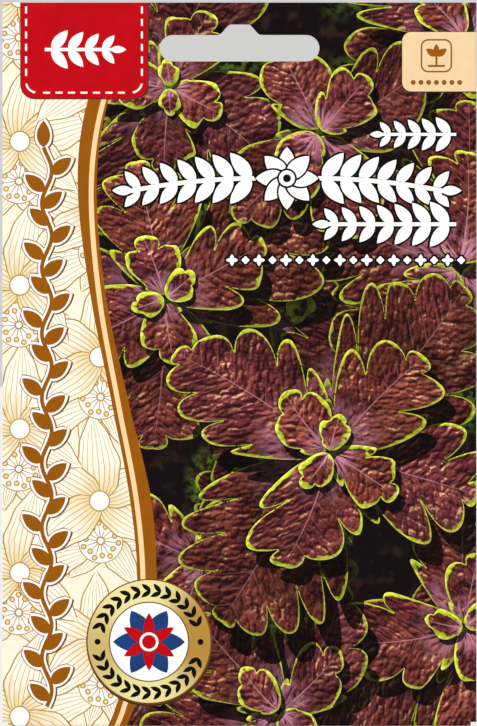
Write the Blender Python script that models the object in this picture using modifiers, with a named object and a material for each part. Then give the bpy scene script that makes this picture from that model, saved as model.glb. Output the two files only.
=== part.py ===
# Paper seed packet with a euro hang slot, 95 mm by 145 mm, as it hangs from a peg.
# The origin is the top of the slot, where the peg bears. +X is the packet's right seen
# from the front, +Y points to its back and +Z is up.

import math

import bmesh
import bpy
from mathutils import Matrix, Vector

# Packet
PACKET_WIDTH = 0.095
PACKET_HEIGHT = 0.145
PAPER = 0.0002
PLY_GAP = 0.0003
BELLY = 0.0014
BELLY_MARGIN = 0.003
BELLY_RISE = 0.018
BELLY_FALL_START = 0.055
BELLY_FALL_END = 0.112

# Flaps
SIDE_FLAP = 0.012
BOTTOM_FLAP = 0.015
BOTTOM_FLAP_INSET = 0.0012
BOTTOM_FLAP_TAPER = 0.09
STEP_WIDTH = 0.0015
STEP_CLEAR = 0.0005
PANEL_BOTTOM = 0.0009

# Euro slot
SLOT_LENGTH = 0.032
SLOT_RADIUS = 0.00265
SLOT_TOP_DEPTH = 0.0044
BUMP_HEIGHT = 0.0021
BUMP_BASE = 0.0086
BUMP_TOP = 0.0034
CUTTER_DEPTH = 0.01

# Glue
GLUE = 0.0001
GLUE_SIDE_INSET = 0.0015
GLUE_END_INSET = 0.003
HEADER_GLUE_BOTTOM = 0.118
HEADER_GLUE_TOP = 0.1436
HEADER_GLUE_HALF_WIDTH = 0.044
SLOT_GLUE_MARGIN = 0.0013

# Sachet and seeds
FILM = 0.0001
SACHET_WIDTH = 0.052
SACHET_BOTTOM = 0.006
SACHET_TOP = 0.076
SACHET_SEAL = 0.005
SACHET_FILL = 0.75
SACHET_PLY_Y = 0.0001
SEED_RADIUS = 0.00045
SEED_PITCH = 0.0012
SEED_ROWS = 4
SEED_FLOOR = 0.0105

# Mesh steps
PANEL_STEPS = 20
BODY_STEPS = 24
FOLD_STEPS = 6
FLAP_STEPS = 3
ARC_STEPS = 8

PEG_HEIGHT = PACKET_HEIGHT - SLOT_TOP_DEPTH
SLOT_CENTRE_HEIGHT = PEG_HEIGHT - BUMP_HEIGHT - SLOT_RADIUS
LAYER = PAPER + PLY_GAP
FRONT_Y = -LAYER / 2
BACK_Y = LAYER / 2
SIDE_FLAP_Y = BACK_Y + LAYER
LEFT_FOLD_X = -PACKET_WIDTH / 2 + BACK_Y + PAPER / 2
RIGHT_FOLD_X = PACKET_WIDTH / 2 - (SIDE_FLAP_Y - FRONT_Y) / 2 - PAPER / 2
BACK_EDGE_X = RIGHT_FOLD_X - PLY_GAP
SIDE_FLAP_X = PACKET_WIDTH / 2 - SIDE_FLAP
BOTTOM_FLAP_X = PACKET_WIDTH / 2 - BOTTOM_FLAP_INSET
STEP_END_X = SIDE_FLAP_X - STEP_CLEAR
STEP_START_X = STEP_END_X - STEP_WIDTH


def clear_scene():
    for thing in list(bpy.data.objects):
        bpy.data.objects.remove(thing, do_unlink=True)


def new_collection(name):
    collection = bpy.data.collections.new(name)
    bpy.context.scene.collection.children.link(collection)
    return collection


def material(name, colour, roughness, metallic=0.0):
    made = bpy.data.materials.new(name)
    made.use_nodes = True
    shader = made.node_tree.nodes["Principled BSDF"]
    shader.inputs["Base Color"].default_value = (*colour, 1.0)
    shader.inputs["Roughness"].default_value = roughness
    shader.inputs["Metallic"].default_value = metallic
    return made


def spread(start, end, steps):
    return [start + (end - start) * k / steps for k in range(steps + 1)]


def smooth_step(value):
    t = min(max(value, 0.0), 1.0)
    return t * t * (3.0 - 2.0 * t)


def belly(x, height):
    """How far each ply swells from its flat place, at x and a height above the bottom."""
    across = min(abs(x) / (PACKET_WIDTH / 2 - BELLY_MARGIN), 1.0)
    rise = smooth_step(height / BELLY_RISE)
    fall = smooth_step((height - BELLY_FALL_START) / (BELLY_FALL_END - BELLY_FALL_START))
    return BELLY * (1.0 - across * across) ** 1.5 * rise * (1.0 - fall)


def bottom_flap_y(column_x):
    """The bottom flap's flat place: it steps up where it passes over the side flap."""
    return BACK_Y + LAYER * (1.0 + smooth_step((column_x - STEP_START_X) / STEP_WIDTH))


def tapered(column_x, height):
    """Where a column of the bottom flap runs: the flap narrows towards its free edge."""
    return column_x * (1.0 - BOTTOM_FLAP_TAPER * (height - PANEL_BOTTOM) / BOTTOM_FLAP)


def panel_columns():
    """A panel's columns from left to right, with the flap's step between two of them."""
    left = spread(-BOTTOM_FLAP_X, STEP_START_X, PANEL_STEPS)
    return left + spread(STEP_END_X, BOTTOM_FLAP_X, FLAP_STEPS)


def girth_columns():
    """The sheet's columns round the packet, from the side flap's edge to the back's."""
    front = [RIGHT_FOLD_X] + panel_columns()[::-1] + [LEFT_FOLD_X]
    back = [LEFT_FOLD_X] + panel_columns() + [BACK_EDGE_X]
    columns = [("side_flap", x) for x in spread(SIDE_FLAP_X, RIGHT_FOLD_X, FLAP_STEPS)]
    columns += [("right_fold", a) for a in spread(90, -90, FOLD_STEPS)[1:-1]]
    columns += [("front", x) for x in front]
    columns += [("left_fold", a) for a in spread(-90, -270, FOLD_STEPS)[1:-1]]
    columns += [("back", x) for x in back]
    return columns


def sheet_rows():
    """The sheet's rows, from the bottom flap's edge, round the bottom fold, to the top."""
    rows = [("flap", h) for h in spread(BOTTOM_FLAP, PANEL_BOTTOM, FLAP_STEPS)]
    rows += [("bottom_fold", a) for a in spread(90, -90, FOLD_STEPS)[1:-1]]
    rows += [("body", h) for h in spread(PANEL_BOTTOM, PACKET_HEIGHT, BODY_STEPS)]
    return rows


def body_place(column, height):
    panel, at = column
    if panel == "front":
        return at, FRONT_Y - belly(at, height), height
    if panel == "back":
        return at, BACK_Y + belly(at, height), height
    if panel == "side_flap":
        return at, SIDE_FLAP_Y + belly(at, height), height
    angle = math.radians(at)
    if panel == "left_fold":
        return LEFT_FOLD_X + BACK_Y * math.cos(angle), BACK_Y * math.sin(angle), height
    middle = (FRONT_Y + SIDE_FLAP_Y) / 2
    radius = SIDE_FLAP_Y - middle
    return RIGHT_FOLD_X + radius * math.cos(angle), middle + radius * math.sin(angle), height


def flap_place(column, row):
    """A place on the bottom fold or the flap behind it, which narrows towards its edge."""
    part, at = row
    column_x = column[1]
    if part == "flap":
        x = tapered(column_x, at)
        return x, bottom_flap_y(column_x) + belly(x, at), at
    radius = (bottom_flap_y(column_x) - FRONT_Y) / 2
    angle = math.radians(at)
    drop = (PANEL_BOTTOM - PAPER / 2) * math.cos(angle)
    return column_x, FRONT_Y + radius + radius * math.sin(angle), PANEL_BOTTOM - drop


def grid_mesh(name, across, along, place, keep=None):
    """A grid whose vertices each go where place() says, without the faces keep() drops."""
    grid = bmesh.new()
    bmesh.ops.create_grid(grid, x_segments=across - 1, y_segments=along - 1, size=1.0)
    dropped = []
    for face in grid.faces:
        centre = face.calc_center_median()
        i = math.floor((centre.x + 1) / 2 * (across - 1))
        j = math.floor((centre.y + 1) / 2 * (along - 1))
        if keep and not keep(i, j):
            dropped.append(face)
    for vertex in grid.verts:
        i = round((vertex.co.x + 1) / 2 * (across - 1))
        j = round((vertex.co.y + 1) / 2 * (along - 1))
        x, y, height = place(i, j)
        vertex.co = Vector((x, y, height - PEG_HEIGHT))
    bmesh.ops.delete(grid, geom=dropped, context="FACES")
    mesh = bpy.data.meshes.new(name)
    grid.to_mesh(mesh)
    grid.free()
    return mesh


def add_sheet(name, mesh, thickness, finish, collection):
    sheet = bpy.data.objects.new(name, mesh)
    collection.objects.link(sheet)
    mesh.materials.append(finish)
    solid = sheet.modifiers.new("thickness", "SOLIDIFY")
    solid.thickness = thickness
    solid.offset = 0.0
    return sheet


def slot_outline(margin):
    """The euro slot's outline in x and height from the bar's centre, grown by a margin."""
    radius = SLOT_RADIUS + margin
    reach = SLOT_LENGTH / 2 - SLOT_RADIUS
    bump_base = BUMP_BASE / 2 + margin
    bump_top = BUMP_TOP / 2 + margin
    points = []
    for degrees in spread(-90, 90, ARC_STEPS):
        angle = math.radians(degrees)
        points.append((reach + radius * math.cos(angle), radius * math.sin(angle)))
    for x in spread(bump_base, bump_top, ARC_STEPS):
        lift = BUMP_HEIGHT * smooth_step((bump_base - x) / (bump_base - bump_top))
        points.append((x, radius + lift))
    return points + [(-x, z) for x, z in reversed(points)]


def slot_cutter(name, margin, collection):
    """A block of the slot's outline, long enough to pass through every ply."""
    outline = slot_outline(margin)
    curve = bpy.data.curves.new(name, "CURVE")
    curve.dimensions = "2D"
    curve.fill_mode = "BOTH"
    curve.extrude = CUTTER_DEPTH / 2
    spline = curve.splines.new("POLY")
    spline.points.add(len(outline) - 1)
    for point, (x, z) in zip(spline.points, outline):
        point.co = (x, z, 0.0, 1.0)
    spline.use_cyclic_u = True
    flat = bpy.data.objects.new(name, curve)
    collection.objects.link(flat)
    lift = Matrix.Translation((0, 0, SLOT_CENTRE_HEIGHT - PEG_HEIGHT))
    flat.matrix_world = lift @ Matrix.Rotation(math.radians(90), 4, "X")
    bpy.context.view_layer.update()
    evaluated = flat.evaluated_get(bpy.context.evaluated_depsgraph_get())
    mesh = bpy.data.meshes.new_from_object(evaluated)
    welded = bmesh.new()
    welded.from_mesh(mesh)
    bmesh.ops.remove_doubles(welded, verts=welded.verts, dist=1e-6)
    bmesh.ops.recalc_face_normals(welded, faces=welded.faces)
    welded.to_mesh(mesh)
    welded.free()
    cutter = bpy.data.objects.new(name + "_block", mesh)
    collection.objects.link(cutter)
    cutter.matrix_world = flat.matrix_world
    bpy.data.objects.remove(flat, do_unlink=True)
    cutter.hide_render = True
    cutter.display_type = "WIRE"
    return cutter


def cut(target, cutter):
    opening = target.modifiers.new("euro slot", "BOOLEAN")
    opening.operation = "DIFFERENCE"
    opening.solver = "EXACT"
    opening.object = cutter


def add_envelope(parts, cutters):
    """The packet itself: one printed sheet, folded round and shut by two flaps."""
    columns = girth_columns()
    rows = sheet_rows()
    body_start = next(j for j, row in enumerate(rows) if row[0] == "body")

    def on_flap(i):
        return columns[i][0] == "front" and abs(columns[i][1]) <= BOTTOM_FLAP_X + 1e-9

    def place(i, j):
        if j < body_start and on_flap(i):
            return flap_place(columns[i], rows[j])
        return body_place(columns[i], rows[max(j, body_start)][1])

    def keep(i, j):
        return j >= body_start or (on_flap(i) and on_flap(i + 1))

    mesh = grid_mesh("envelope", len(columns), len(rows), place, keep)
    finish = material("coated paper", (0.30, 0.13, 0.11), 0.35)
    envelope = add_sheet("envelope", mesh, PAPER, finish, parts)
    cut(envelope, slot_cutter("slot", 0.0, cutters))
    return envelope


def add_side_glue(parts, finish):
    """The glue line that holds the side flap to the back panel."""
    xs = spread(SIDE_FLAP_X + GLUE_SIDE_INSET, BACK_EDGE_X - GLUE_SIDE_INSET, FLAP_STEPS)
    heights = spread(GLUE_END_INSET, PACKET_HEIGHT - GLUE_SIDE_INSET, BODY_STEPS)

    def place(i, j):
        return xs[i], BACK_Y + LAYER / 2 + belly(xs[i], heights[j]), heights[j]

    mesh = grid_mesh("side_glue", len(xs), len(heights), place)
    return add_sheet("side_glue", mesh, GLUE, finish, parts)


def add_bottom_glue(parts, finish):
    """The glue line under the bottom flap, which rides up over the side flap."""
    columns = panel_columns()[1:-1]
    heights = spread(GLUE_END_INSET, BOTTOM_FLAP - GLUE_SIDE_INSET, FLAP_STEPS)

    def place(i, j):
        x = tapered(columns[i], heights[j])
        y = bottom_flap_y(columns[i]) - LAYER / 2 + belly(x, heights[j])
        return x, y, heights[j]

    mesh = grid_mesh("bottom_glue", len(columns), len(heights), place)
    return add_sheet("bottom_glue", mesh, GLUE, finish, parts)


def add_header_glue(parts, cutters, finish):
    """The glue that shuts the header, kept clear of the punched slot."""
    xs = [-HEADER_GLUE_HALF_WIDTH, HEADER_GLUE_HALF_WIDTH]
    heights = [HEADER_GLUE_BOTTOM, HEADER_GLUE_TOP]

    def place(i, j):
        return xs[i], 0.0, heights[j]

    mesh = grid_mesh("header_glue", len(xs), len(heights), place)
    glue = add_sheet("header_glue", mesh, GLUE, finish, parts)
    cut(glue, slot_cutter("slot_glue", SLOT_GLUE_MARGIN, cutters))
    return glue


def sachet_half(x, height):
    """Half the sachet's depth: flat at its seals, and swelling with the packet between."""
    to_side = (SACHET_WIDTH / 2 - abs(x)) / SACHET_SEAL
    to_top = (SACHET_TOP - height) / SACHET_SEAL
    open_part = smooth_step(to_side - 1.0) * smooth_step(to_top - 1.0)
    return SACHET_PLY_Y + SACHET_FILL * belly(x, height) * open_part


def add_sachet(parts):
    """The inner sachet: one film web folded at its foot, its plies shut round the seeds."""
    xs = spread(-SACHET_WIDTH / 2, SACHET_WIDTH / 2, PANEL_STEPS)
    heights = spread(SACHET_TOP, SACHET_BOTTOM, PANEL_STEPS)
    rows = [("front", h) for h in heights]
    rows += [("fold", a) for a in spread(-90, 90, FOLD_STEPS)[1:-1]]
    rows += [("back", h) for h in reversed(heights)]

    def place(i, j):
        side, at = rows[j]
        if side == "fold":
            radius = sachet_half(xs[i], SACHET_BOTTOM)
            angle = math.radians(at)
            drop = radius * math.cos(angle)
            return xs[i], radius * math.sin(angle), SACHET_BOTTOM - drop
        sign = -1.0 if side == "front" else 1.0
        return xs[i], sign * sachet_half(xs[i], at), at

    mesh = grid_mesh("inner_sachet", len(xs), len(rows), place)
    finish = material("sachet film", (0.80, 0.81, 0.82), 0.25)
    return add_sheet("inner_sachet", mesh, FILM, finish, parts)


def add_seeds(parts):
    """The seeds, in a small heap in the sachet's fold."""
    finish = material("seed coat", (0.09, 0.05, 0.03), 0.55)
    ball = bmesh.new()
    bmesh.ops.create_icosphere(ball, subdivisions=2, radius=SEED_RADIUS)
    mesh = bpy.data.meshes.new("seed")
    ball.to_mesh(mesh)
    ball.free()
    mesh.materials.append(finish)
    mesh.shade_smooth()
    number = 1
    for row in range(SEED_ROWS):
        count = SEED_ROWS - row
        height = SEED_FLOOR + row * SEED_PITCH * math.sin(math.radians(60))
        for k in range(count):
            seed = bpy.data.objects.new(f"seed_{number:02d}", mesh)
            seed.location = ((k - (count - 1) / 2) * SEED_PITCH, 0.0, height - PEG_HEIGHT)
            parts.objects.link(seed)
            number += 1


def main():
    clear_scene()
    parts = new_collection("seed_packet")
    cutters = new_collection("cutters")
    glue = material("glue", (0.85, 0.82, 0.72), 0.4)
    add_envelope(parts, cutters)
    add_side_glue(parts, glue)
    add_bottom_glue(parts, glue)
    add_header_glue(parts, cutters, glue)
    add_sachet(parts)
    add_seeds(parts)


main()
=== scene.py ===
import functools
import math
import random

import bmesh
import bpy
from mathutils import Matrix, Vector, bvhtree, kdtree, noise
from mathutils.geometry import delaunay_2d_cdt


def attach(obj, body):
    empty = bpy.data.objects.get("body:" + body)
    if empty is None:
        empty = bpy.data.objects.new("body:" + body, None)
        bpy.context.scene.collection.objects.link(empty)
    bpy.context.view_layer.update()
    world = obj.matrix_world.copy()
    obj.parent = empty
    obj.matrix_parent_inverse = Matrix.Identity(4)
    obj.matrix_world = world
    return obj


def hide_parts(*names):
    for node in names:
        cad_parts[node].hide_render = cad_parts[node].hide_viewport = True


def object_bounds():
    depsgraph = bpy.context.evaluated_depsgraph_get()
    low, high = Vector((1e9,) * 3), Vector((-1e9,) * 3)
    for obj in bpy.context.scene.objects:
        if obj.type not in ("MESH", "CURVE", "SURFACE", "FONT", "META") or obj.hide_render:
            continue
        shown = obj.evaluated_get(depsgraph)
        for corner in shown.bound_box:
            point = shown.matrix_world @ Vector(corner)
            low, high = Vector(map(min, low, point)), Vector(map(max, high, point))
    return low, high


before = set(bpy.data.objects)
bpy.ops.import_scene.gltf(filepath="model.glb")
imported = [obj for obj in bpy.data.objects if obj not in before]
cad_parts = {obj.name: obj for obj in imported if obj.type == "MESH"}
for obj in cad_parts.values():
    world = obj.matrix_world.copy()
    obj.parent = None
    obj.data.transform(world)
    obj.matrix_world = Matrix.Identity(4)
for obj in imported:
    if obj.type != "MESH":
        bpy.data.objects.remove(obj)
CAD_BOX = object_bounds()

# Camera
# The packet is seen square on, as it lies in the photograph's frame of 477 by 726 pixels,
# with its left and top edges two pixels inside the frame.
MM = 0.001
FRAME_WIDTH = 477
FRAME_HEIGHT = 726
PIXELS_PER_MM = 5.0
EDGE_PIXELS = 2.0
LENS = 220.0
SENSOR = 36.0

(box_left, box_front, box_bottom), (box_right, box_back, box_top) = CAD_BOX
view_x = box_left + (FRAME_WIDTH / 2 - EDGE_PIXELS) / PIXELS_PER_MM * MM
view_z = box_top - (FRAME_HEIGHT / 2 - EDGE_PIXELS) / PIXELS_PER_MM * MM
view_distance = FRAME_HEIGHT / PIXELS_PER_MM * MM * LENS / SENSOR
camera_data = bpy.data.cameras.new("camera")
camera_data.lens = LENS
camera_data.sensor_width = SENSOR
camera = bpy.data.objects.new("camera", camera_data)
bpy.context.scene.collection.objects.link(camera)
camera.location = (view_x, box_front - view_distance, view_z)
camera.rotation_euler = (math.radians(90), 0, 0)
bpy.context.scene.camera = camera

# Packet sheet
# One sheet of coated paper, printed flat and then folded: the front panel, a left fold, the
# back panel, a side flap round the right edge and a bottom flap turned up behind. The flat
# sheet is in millimetres: u to the right from the front's middle, v up from the packet's foot.
PACKET_WIDTH = (box_right - box_left) / MM
PACKET_HEIGHT = (box_top - box_bottom) / MM
HALF = PACKET_WIDTH / 2
PAPER = 0.2
LAYER = 0.5
BELLY = 1.4
BELLY_MARGIN = 3.0
BELLY_RISE = 18.0
BELLY_FALL = (55.0, 112.0)
SIDE_FLAP = 12.0
BOTTOM_FLAP = 15.0
BOTTOM_FLAP_INSET = 1.2
BOTTOM_FLAP_TAPER = 0.09
STEP_START = HALF - SIDE_FLAP - 2.0
STEP_WIDTH = 1.5
PANEL_BOTTOM = 0.9
SACHET_HALF = 26.0
SACHET_TOP = 76.0
IMPRINT = 0.05
IMPRINT_WIDTH = 1.3
BACK_Y = LAYER / 2
LEFT_FOLD = -HALF + BACK_Y + PAPER / 2
RIGHT_FOLD = HALF - LAYER - PAPER / 2
LEFT_ARC = math.pi * BACK_Y
RIGHT_ARC = math.pi * LAYER
BOTTOM_ARC = math.pi * LAYER
BACK_FOLD = LEFT_FOLD - LEFT_ARC
SIDE_FOLD = RIGHT_FOLD + RIGHT_ARC
BACK_SHORT = 0.3
BACK_MIDDLE = 2 * LEFT_FOLD - LEFT_ARC
BACK_EDGE = BACK_MIDDLE - (RIGHT_FOLD - BACK_SHORT)
FLAP_EDGE = SIDE_FOLD + RIGHT_FOLD - (HALF - SIDE_FLAP)
FLAP_FOOT = 2 * PANEL_BOTTOM - BOTTOM_ARC - BOTTOM_FLAP
FLAP_HALF = HALF - BOTTOM_FLAP_INSET
BELOW_PANEL = PANEL_BOTTOM - 1e-3


def smooth_step(value):
    t = min(max(value, 0.0), 1.0)
    return t * t * (3.0 - 2.0 * t)


def belly(x, height):
    """How far a panel bulges at a place, with the faint ridge over the sachet's edge."""
    across = min(abs(x) / (HALF - BELLY_MARGIN), 1.0)
    rise = smooth_step(height / BELLY_RISE)
    fall = smooth_step((height - BELLY_FALL[0]) / (BELLY_FALL[1] - BELLY_FALL[0]))
    past_edge = max(abs(x) - SACHET_HALF, height - SACHET_TOP)
    ridge = IMPRINT * rise * math.exp(-(past_edge / IMPRINT_WIDTH) ** 2)
    return BELLY * (1.0 - across * across) ** 1.5 * rise * (1.0 - fall) + ridge


def folded(u, v):
    """Where a point of the flat sheet lies on the packet, in metres."""
    x, y = u, 0.0
    height = v
    if v < BELOW_PANEL:
        step = smooth_step((u - STEP_START) / STEP_WIDTH)
        radius = LAYER / 2 * (2.0 + step)
        turn = (PANEL_BOTTOM - v) / BOTTOM_ARC
        if turn < 1.0:
            angle = math.pi * (turn - 0.5)
            height = PANEL_BOTTOM - (PANEL_BOTTOM - PAPER / 2) * math.cos(angle)
            y = -BACK_Y + radius + radius * math.sin(angle)
        else:
            height = PANEL_BOTTOM + (turn - 1.0) * BOTTOM_ARC
            x = u * (1.0 - BOTTOM_FLAP_TAPER * (height - PANEL_BOTTOM) / BOTTOM_FLAP)
            y = BACK_Y + LAYER * (1.0 + step) + belly(x, height)
    elif LEFT_FOLD <= u <= RIGHT_FOLD:
        y = -BACK_Y - belly(u, v)
    elif BACK_FOLD < u < LEFT_FOLD:
        angle = (u - LEFT_FOLD) / LEFT_ARC * math.pi - math.pi / 2
        x = LEFT_FOLD + BACK_Y * math.cos(angle)
        y = BACK_Y * math.sin(angle)
    elif u <= BACK_FOLD:
        x = BACK_MIDDLE - u
        y = BACK_Y + belly(x, v)
    elif u < SIDE_FOLD:
        angle = (u - RIGHT_FOLD) / RIGHT_ARC * math.pi - math.pi / 2
        x = RIGHT_FOLD + LAYER * math.cos(angle)
        y = -BACK_Y + LAYER + LAYER * math.sin(angle)
    else:
        x = 2 * RIGHT_FOLD + RIGHT_ARC - u
        y = BACK_Y + LAYER + belly(x, v)
    return Vector((x * MM, y * MM, box_bottom + height * MM))


# Paper and ink
# The sheet is semi-gloss coated paper. Each printed colour is a material of its own on that
# paper, with the mottle of its ink, the paper's fine grain, and wear along the folds.
PAPER_WHITE = (246, 244, 239)
PAPER_GRAIN = 1400.0
INK_MOTTLE = 420.0
SCUFFS = 2600.0
WORN_AT_SIDE = (0.22, 0.02)
WORN_AT_FOOT = 0.2
WORN_FADE = 0.16
inks = {}


class Wire:
    """A socket of a material, with operators that add Math nodes."""

    def __init__(self, tree, socket=None):
        self.tree = tree
        self.socket = socket

    def node(self, kind, settings, values, output=0):
        made = self.tree.nodes.new(kind)
        for name, value in settings.items():
            setattr(made, name, value)
        for name, value in values.items():
            if isinstance(value, Wire):
                self.tree.links.new(value.socket, made.inputs[name])
            else:
                made.inputs[name].default_value = value
        return Wire(self.tree, made.outputs[output])

    def maths(self, operation, *others):
        values = dict(enumerate((self, *others)))
        return self.node("ShaderNodeMath", {"operation": operation}, values)

    __add__ = __radd__ = functools.partialmethod(maths, "ADD")
    __mul__ = __rmul__ = functools.partialmethod(maths, "MULTIPLY")
    __sub__ = functools.partialmethod(maths, "SUBTRACT")
    __truediv__ = functools.partialmethod(maths, "DIVIDE")
    __pow__ = functools.partialmethod(maths, "POWER")
    __abs__ = functools.partialmethod(maths, "ABSOLUTE")

    def __rsub__(self, other):
        return self.node("ShaderNodeMath", {"operation": "SUBTRACT"}, {0: other, 1: self})

    def join(self, x, y, z):
        return self.node("ShaderNodeCombineXYZ", {}, {0: x, 1: y, 2: z})

    def split(self):
        return [self.node("ShaderNodeSeparateXYZ", {}, {0: self}, k) for k in range(3)]

    def cloud(self, scale, detail):
        """Noise at this place."""
        values = {"Vector": self, "Scale": scale, "Detail": detail}
        return self.node("ShaderNodeTexNoise", {}, values)

    def between(self, low, high):
        """0 below low and 1 above high, with a smooth rise."""
        settings = {"interpolation_type": "SMOOTHSTEP"}
        return self.node("ShaderNodeMapRange", settings, {0: self, 1: low, 2: high})

    def mix(self, low, high):
        """The colour low where this is 0, and high where it is 1."""
        low, high = (end if isinstance(end, Wire) else (*rgb(*end), 1.0) for end in (low, high))
        return self.node("ShaderNodeMix", {"data_type": "RGBA"}, {0: self, 6: low, 7: high}, 2)

    def darken(self, colour):
        """The colour, times this."""
        settings = {"data_type": "RGBA", "blend_type": "MULTIPLY"}
        grey = self.node("ShaderNodeCombineColor", {}, {0: self, 1: self, 2: self})
        return self.node("ShaderNodeMix", settings, {0: 1.0, 6: colour, 7: grey}, 2)

    def feed(self, shader, name):
        self.tree.links.new(self.socket, shader.inputs[name])


def rgb(*screen):
    """A colour as a screen shows it, from 0 to 255, in the renderer's linear values."""
    return tuple(((value / 255 + 0.055) / 1.055) ** 2.4 for value in screen)


def start_material(name):
    """A new material, a pen that adds its nodes, and the place it is painted at."""
    made = bpy.data.materials.new(name)
    made.use_nodes = True
    pen = Wire(made.node_tree)
    place = pen.node("ShaderNodeTexCoord", {}, {}, "Object")
    return made, pen, place


def finish(made, colour, rough, height, strength, distance):
    """Puts a colour, a roughness and a relief on a material's shader."""
    shader = made.node_tree.nodes["Principled BSDF"]
    values = {"Height": height, "Strength": strength, "Distance": distance}
    height.node("ShaderNodeBump", {}, values).feed(shader, "Normal")
    colour.feed(shader, "Base Color")
    rough.feed(shader, "Roughness")
    return shader


def finish_paper(made, place, colour, gloss=0.46):
    """Semi-gloss coated paper under a printed colour, with the print worn at the folds."""
    x, y, z = place.split()
    at_side = abs(x).between(*((HALF - inside) * MM for inside in WORN_AT_SIDE))
    at_foot = (box_bottom + WORN_AT_FOOT * MM - z).between(0.0, WORN_FADE * MM)
    scuff = place.cloud(SCUFFS, 4.0).between(0.52, 0.66)
    worn = at_side.maths("MAXIMUM", at_foot) * scuff * 0.5
    grain = place.cloud(PAPER_GRAIN, 3.0)
    rough = grain * 0.1 + (gloss - 0.05)
    shader = finish(made, worn.mix(colour, PAPER_WHITE), rough, grain, 0.08, 0.00006)
    shader.inputs["Specular IOR Level"].default_value = 0.06


def flat_ink(name, colour, mottle=0.05):
    """A flat printed colour, with the faint mottle of ink that soaks in unevenly."""
    made, pen, place = start_material(name)
    thin = tuple(value * (1.0 - mottle) for value in colour)
    finish_paper(made, place, place.cloud(INK_MOTTLE, 4.0).between(0.3, 0.7).mix(thin, colour))
    inks[name] = made


# Leaf picture
# The picture fills the front to the right of the border: whorls of lobed leaves seen from
# above in hard sunlight, chocolate with a lime rim. It is drawn leaf by leaf, and each corner
# of a leaf's mesh carries its place on the blade, its light and its distance from the rim.
LAMP = Vector((-0.5, 0.87))
STOPS_PER_MM = 8
PARTS_OF_A_STOP = 4
OUTLINE_GAP = 0.45
LOBE_LENGTH = 8.0
LOBE_LEAN = 0.95
LOBE_DEPTH = 0.48
CONTACT_SHADE = 0.6
CONTACT_REACH = 0.7
CURL_SHADE = 0.32
CURL_REACH = 2.2
THROW = 0.17
SHADOW_LIGHT = 0.08
# For the loose leaves and then the bright sprouts under the whorls: how many there are, the
# ranges of their places across and up, their lengths and their tones, and their rim.
LOOSE_LEAVES = (
    (14, (-28, 48), (0, 145), (14, 24), (0.25, 0.7), 0.42),
    (12, (-24, 46), (4, 140), (5, 10), (0.4, 0.9), 2.4),
)
# For each whorl, from the lowest: its centre, its size, its turn and its pairs of leaves.
WHORLS = (
    ((45, 138), 32, 20, 4), ((-14, 128), 31, 75, 5), ((44, 92), 36, 60, 3),
    ((45, 20), 37, 10, 5), ((-7, 33), 24, 50, 3), ((8, 3), 30, 40, 4),
    ((-15, 86), 35, 15, 5), ((16, 119), 26, 35, 3), ((18, 55), 42, 65, 5),
)
# For each pair of leaves, from the lowest: its share of the size, its tone and its rim.
TIERS = (
    (1.0, 0.72, 0.42), (0.8, 0.88, 0.46), (0.58, 1.0, 0.5), (0.36, 1.08, 0.6), (0.2, 1.1, 0.8),
)
PICTURE = (-HALF - 5, -20, HALF + 5, PACKET_HEIGHT + 2)
LONGEST_SIDE = 3.0
leaves = []
shapes = []
draws = random.Random(11)


def turned(base, angle, a, b):
    """The point a along and b across from a base, with a turned to the angle."""
    cos, sin = math.cos(angle), math.sin(angle)
    return base[0] + a * cos - b * sin, base[1] + a * sin + b * cos


def flat_tree(points):
    """A tree that finds the nearest of some flat points."""
    tree = kdtree.KDTree(len(points))
    for k, point in enumerate(points):
        tree.insert((point[0], point[1], 0.0), k)
    tree.balance()
    return tree


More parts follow.
